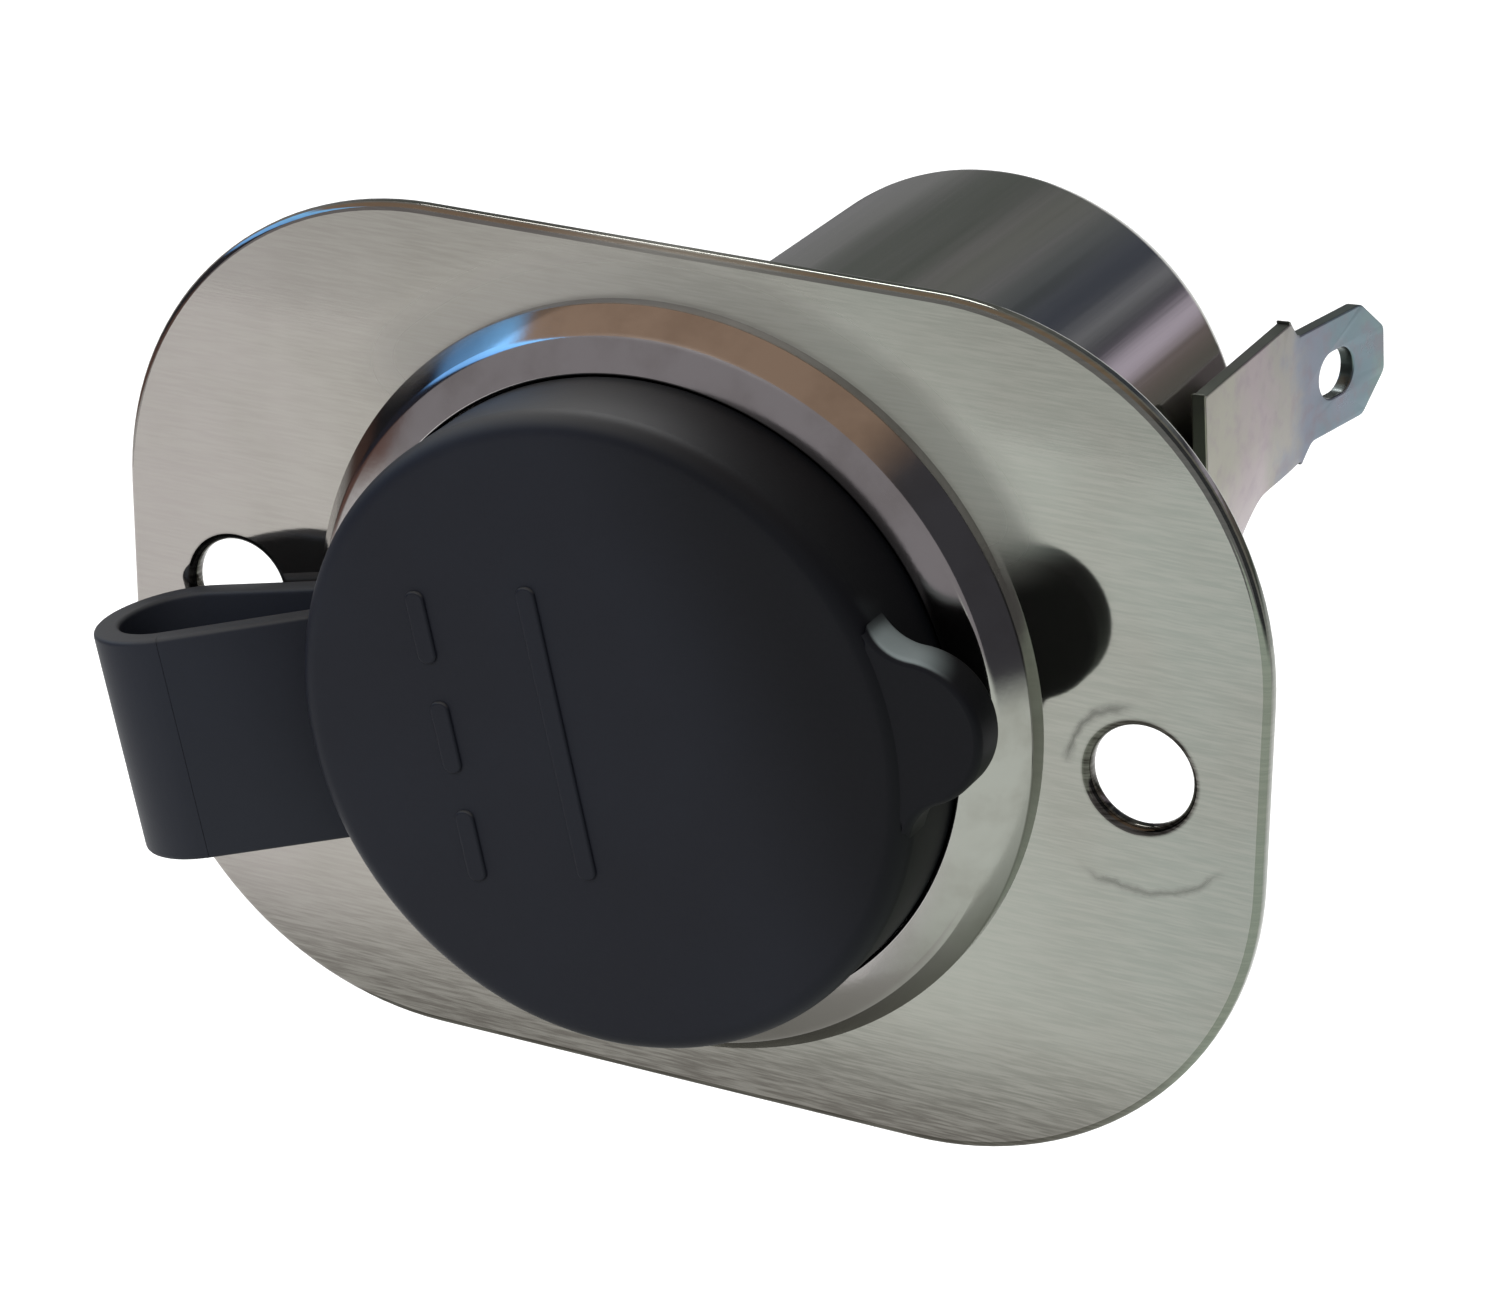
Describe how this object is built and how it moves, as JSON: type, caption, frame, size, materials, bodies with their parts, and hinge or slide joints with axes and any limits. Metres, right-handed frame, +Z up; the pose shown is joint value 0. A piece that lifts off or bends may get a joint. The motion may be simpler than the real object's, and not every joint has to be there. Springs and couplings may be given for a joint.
{
  "type": "panel-mount 12 V power socket with rubber cap",
  "caption": "Panel-mount 12 V socket: plug bore in a steel barrel on an oblong screw plate, a tethered rubber plug cap, and push-on blade terminals behind.",
  "frame": {"origin": "on the socket axis, in the rear face of the mounting plate, which meets the panel", "axes": "+X along the plate's long side, away from the strap; +Y along the socket from the cap to the tail; +Z up"},
  "size_m": [0.06, 0.0638, 0.043],
  "materials": {
    "plate": "polished stainless sheet",
    "bezel": "bright chrome",
    "barrel": "bright nickel over drawn steel",
    "rubber": "matt moulded rubber",
    "zinc": "iridescent passivated zinc",
    "nuts": "bright zinc",
    "bronze": "spring bronze",
    "brass": "turned brass",
    "insulator": "moulded phenolic"
  },
  "bodies": {
    "socket": {"mounting_plate": "plate", "socket_well": "bezel", "clamp_shell": "barrel", "strap_anchor": "rubber", "strap_fold": "rubber", "ground_terminal": "zinc", "ground_rivet": "nuts", "grip_spring_right": "bronze", "grip_spring_left": "bronze", "threaded_bushing": "brass", "clamp_washer": "nuts", "clamp_nut": "nuts", "insulating_disc": "insulator", "rear_insulator": "insulator", "centre_contact": "brass", "positive_terminal": "zinc", "terminal_washer": "nuts", "terminal_nut": "nuts"},
    "cap": {"cap": "rubber"}
  },
  "joints": [
    {"name": "cap_hinge", "type": "hinge", "parent": "socket", "child": "cap", "pos_m": [-0.03021, -0.0053, -0.00697], "axis": [0.225, 0, -0.9744], "range_deg": [0, 165], "deforming": ["strap_fold"]}
  ]
}
